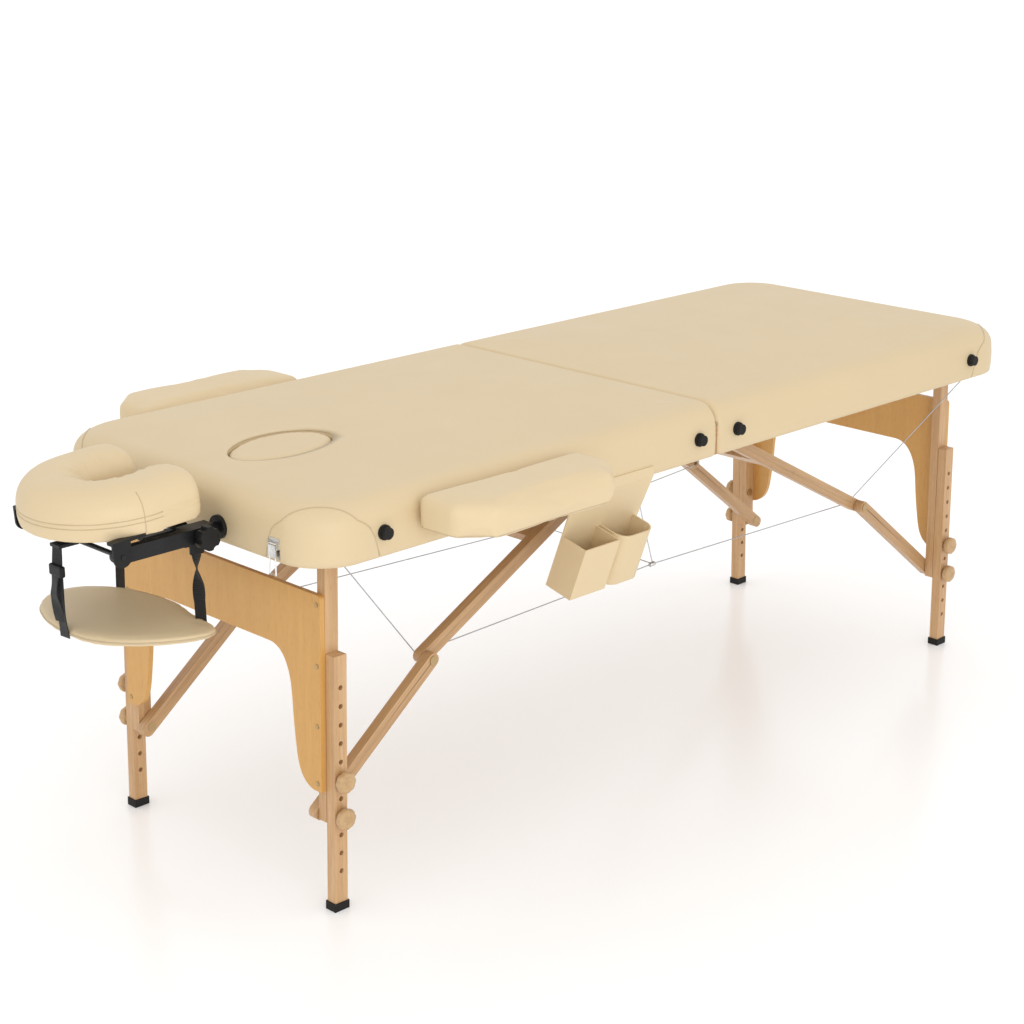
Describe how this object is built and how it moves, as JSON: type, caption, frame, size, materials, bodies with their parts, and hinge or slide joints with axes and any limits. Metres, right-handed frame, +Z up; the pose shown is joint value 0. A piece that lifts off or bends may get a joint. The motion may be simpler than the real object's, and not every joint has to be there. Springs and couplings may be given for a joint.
{
  "type": "portable massage table",
  "caption": "Folding padded treatment table on adjustable wooden legs with braces, a face cradle, an arm shelf, armrests and a bottle holder.",
  "frame": {"origin": "centre of the whole object's plan box, at floor level", "axes": "+X along the table toward the foot end, +Y toward the side without the bottle holder, +Z up"},
  "size_m": [2.0898, 0.956, 0.7229],
  "materials": {
    "leather": "cream synthetic leather, satin",
    "beech": "clear-lacquered beech",
    "panel_ply": "clear-lacquered golden plywood",
    "deck_ply": "plain thin plywood",
    "knob_wood": "turned wood, lacquered",
    "black_rubber": "matt black rubber",
    "black_plastic": "matt black moulded plastic",
    "black_webbing": "woven nylon webbing",
    "black_metal": "black powder-coated steel",
    "zinc_steel": "zinc-plated steel",
    "chrome": "bright nickel plate",
    "brass": "yellow-plated screws and bolts",
    "wire_rope": "steel wire rope in clear sleeve"
  },
  "bodies": {
    "left_half": {"left_frame": "beech", "left_deck": "deck_ply", "left_cushion": "leather", "left_cover": "leather", "left_bumpers": "black_rubber", "left_hardware": "zinc_steel", "left_carry_handle": "black_webbing", "cradle_sockets": "black_plastic", "bottle_holder": "leather", "left_cables": "wire_rope"},
    "right_half": {"right_frame": "beech", "right_deck": "deck_ply", "right_cushion": "leather", "right_cover": "leather", "right_bumpers": "black_rubber", "right_hardware": "zinc_steel", "right_carry_handle": "black_webbing", "right_cables": "wire_rope"},
    "left_legs": {"left_upper_legs": "beech", "left_end_panel": "panel_ply", "left_leg_hardware": "brass"},
    "left_lower_brace": {"left_lower_struts": "beech", "left_knee_bolts": "brass"},
    "left_upper_brace": {"left_upper_brace": "beech"},
    "left_near_extension": {"left_near_extension": "beech", "left_near_foot_cap": "black_rubber"},
    "left_near_upper_knob": {"left_near_upper_knob": "knob_wood"},
    "left_near_lower_knob": {"left_near_lower_knob": "knob_wood"},
    "left_far_extension": {"left_far_extension": "beech", "left_far_foot_cap": "black_rubber"},
    "left_far_upper_knob": {"left_far_upper_knob": "knob_wood"},
    "left_far_lower_knob": {"left_far_lower_knob": "knob_wood"},
    "right_legs": {"right_upper_legs": "beech", "right_end_panel": "panel_ply", "right_leg_hardware": "brass"},
    "right_lower_brace": {"right_lower_struts": "beech", "right_knee_bolts": "brass"},
    "right_upper_brace": {"right_upper_brace": "beech"},
    "right_near_extension": {"right_near_extension": "beech", "right_near_foot_cap": "black_rubber"},
    "right_near_upper_knob": {"right_near_upper_knob": "knob_wood"},
    "right_near_lower_knob": {"right_near_lower_knob": "knob_wood"},
    "right_far_extension": {"right_far_extension": "beech", "right_far_foot_cap": "black_rubber"},
    "right_far_upper_knob": {"right_far_upper_knob": "knob_wood"},
    "right_far_lower_knob": {"right_far_lower_knob": "knob_wood"},
    "cradle_arms": {"cradle_arms": "black_metal", "arm_shelf": "leather", "shelf_straps": "black_webbing"},
    "cradle_head": {"cradle_platform": "black_plastic", "cradle_cushion": "leather"},
    "cradle_lock_knob": {"cradle_lock_knob": "black_plastic"},
    "cradle_cam_lever": {"cradle_cam_lever": "black_plastic"},
    "face_plug": {"face_plug": "leather"},
    "near_armrest": {"near_armrest": "leather", "near_armrest_posts": "zinc_steel"},
    "far_armrest": {"far_armrest": "leather", "far_armrest_posts": "zinc_steel"},
    "near_latch_lever": {"near_latch_lever": "chrome"},
    "far_latch_lever": {"far_latch_lever": "chrome"}
  },
  "joints": [
    {"name": "centre_fold", "type": "hinge", "parent": "left_half", "child": "right_half", "pos_m": [0.12792, 0, 0.5944], "axis": [0, 1, 0], "range_deg": [0, 95]},
    {"name": "left_leg_fold", "type": "hinge", "parent": "left_half", "child": "left_legs", "pos_m": [-0.68708, 0, 0.622], "axis": [0, -1, 0], "range_deg": [0, 91.4], "deforming": ["left_cables"]},
    {"name": "left_upper_strut_turn", "type": "hinge", "parent": "left_half", "child": "left_upper_brace", "pos_m": [0.04792, 0, 0.618], "axis": [0, 1, 0], "range_deg": [0, 28.89]},
    {"name": "left_lower_strut_turn", "type": "hinge", "parent": "left_legs", "child": "left_lower_brace", "pos_m": [-0.69834, 0, 0.16114], "axis": [0, -1, 0], "range_deg": [0, 49.75]},
    {"name": "left_near_leg_slide", "type": "slide", "parent": "left_legs", "child": "left_near_extension", "axis": [0.0244, 0, 0.9997], "range_m": [-0.155, 0.093]},
    {"name": "left_near_upper_knob_turn", "type": "hinge", "parent": "left_legs", "child": "left_near_upper_knob", "pos_m": [-0.69683, -0.29, 0.22312], "axis": [0, -1, 0], "continuous": true},
    {"name": "left_near_lower_knob_turn", "type": "hinge", "parent": "left_legs", "child": "left_near_lower_knob", "pos_m": [-0.69834, -0.29, 0.16114], "axis": [0, -1, 0], "continuous": true},
    {"name": "left_far_leg_slide", "type": "slide", "parent": "left_legs", "child": "left_far_extension", "axis": [0.0244, 0, 0.9997], "range_m": [-0.155, 0.093]},
    {"name": "left_far_upper_knob_turn", "type": "hinge", "parent": "left_legs", "child": "left_far_upper_knob", "pos_m": [-0.69683, 0.29, 0.22312], "axis": [0, 1, 0], "continuous": true},
    {"name": "left_far_lower_knob_turn", "type": "hinge", "parent": "left_legs", "child": "left_far_lower_knob", "pos_m": [-0.69834, 0.29, 0.16114], "axis": [0, 1, 0], "continuous": true},
    {"name": "right_leg_fold", "type": "hinge", "parent": "right_half", "child": "right_legs", "pos_m": [0.94292, 0, 0.622], "axis": [0, 1, 0], "range_deg": [0, 91.4], "deforming": ["right_cables"]},
    {"name": "right_upper_strut_turn", "type": "hinge", "parent": "right_half", "child": "right_upper_brace", "pos_m": [0.20792, 0, 0.618], "axis": [0, -1, 0], "range_deg": [0, 28.89]},
    {"name": "right_lower_strut_turn", "type": "hinge", "parent": "right_legs", "child": "right_lower_brace", "pos_m": [0.95418, 0, 0.16114], "axis": [0, 1, 0], "range_deg": [0, 49.75]},
    {"name": "right_near_leg_slide", "type": "slide", "parent": "right_legs", "child": "right_near_extension", "axis": [-0.0244, 0, 0.9997], "range_m": [-0.155, 0.093]},
    {"name": "right_near_upper_knob_turn", "type": "hinge", "parent": "right_legs", "child": "right_near_upper_knob", "pos_m": [0.95267, -0.29, 0.22312], "axis": [0, -1, 0], "continuous": true},
    {"name": "right_near_lower_knob_turn", "type": "hinge", "parent": "right_legs", "child": "right_near_lower_knob", "pos_m": [0.95418, -0.29, 0.16114], "axis": [0, -1, 0], "continuous": true},
    {"name": "right_far_leg_slide", "type": "slide", "parent": "right_legs", "child": "right_far_extension", "axis": [-0.0244, 0, 0.9997], "range_m": [-0.155, 0.093]},
    {"name": "right_far_upper_knob_turn", "type": "hinge", "parent": "right_legs", "child": "right_far_upper_knob", "pos_m": [0.95267, 0.29, 0.22312], "axis": [0, 1, 0], "continuous": true},
    {"name": "right_far_lower_knob_turn", "type": "hinge", "parent": "right_legs", "child": "right_far_lower_knob", "pos_m": [0.95418, 0.29, 0.16114], "axis": [0, 1, 0], "continuous": true},
    {"name": "cradle_slide", "type": "slide", "parent": "left_half", "child": "cradle_arms", "axis": [-1, 0, 0], "range_m": [0, 0.05]},
    {"name": "cradle_tilt", "type": "hinge", "parent": "cradle_arms", "child": "cradle_head", "pos_m": [-0.97608, 0, 0.622], "axis": [0, -1, 0], "range_deg": [-3.5, 35]},
    {"name": "cradle_lock_knob_turn", "type": "hinge", "parent": "cradle_arms", "child": "cradle_lock_knob", "pos_m": [-0.83008, -0.14, 0.621], "axis": [0, -1, 0], "continuous": true},
    {"name": "cradle_cam_lever_turn", "type": "hinge", "parent": "cradle_arms", "child": "cradle_cam_lever", "pos_m": [-0.83008, -0.07, 0.621], "axis": [0, -1, 0], "range_deg": [0, 70]},
    {"name": "face_plug_lift", "type": "slide", "parent": "left_half", "child": "face_plug", "axis": [0, 0, 1], "range_m": [0, 0.06]},
    {"name": "near_armrest_slide", "type": "slide", "parent": "left_half", "child": "near_armrest", "axis": [0, -1, 0], "range_m": [0, 0.04]},
    {"name": "far_armrest_slide", "type": "slide", "parent": "left_half", "child": "far_armrest", "axis": [0, 1, 0], "range_m": [0, 0.04]},
    {"name": "near_latch_turn", "type": "hinge", "parent": "left_half", "child": "near_latch_lever", "pos_m": [-0.78708, -0.245, 0.625], "axis": [0, 1, 0], "range_deg": [0, 150]},
    {"name": "far_latch_turn", "type": "hinge", "parent": "left_half", "child": "far_latch_lever", "pos_m": [-0.78708, 0.245, 0.625], "axis": [0, 1, 0], "range_deg": [0, 150]}
  ],
  "couplings": [
    {"joint": "left_upper_strut_turn", "follows": "left_leg_fold", "ratio": 0.31602},
    {"joint": "left_lower_strut_turn", "follows": "left_leg_fold", "ratio": 0.54421},
    {"joint": "right_upper_strut_turn", "follows": "right_leg_fold", "ratio": 0.31602},
    {"joint": "right_lower_strut_turn", "follows": "right_leg_fold", "ratio": 0.54421}
  ]
}
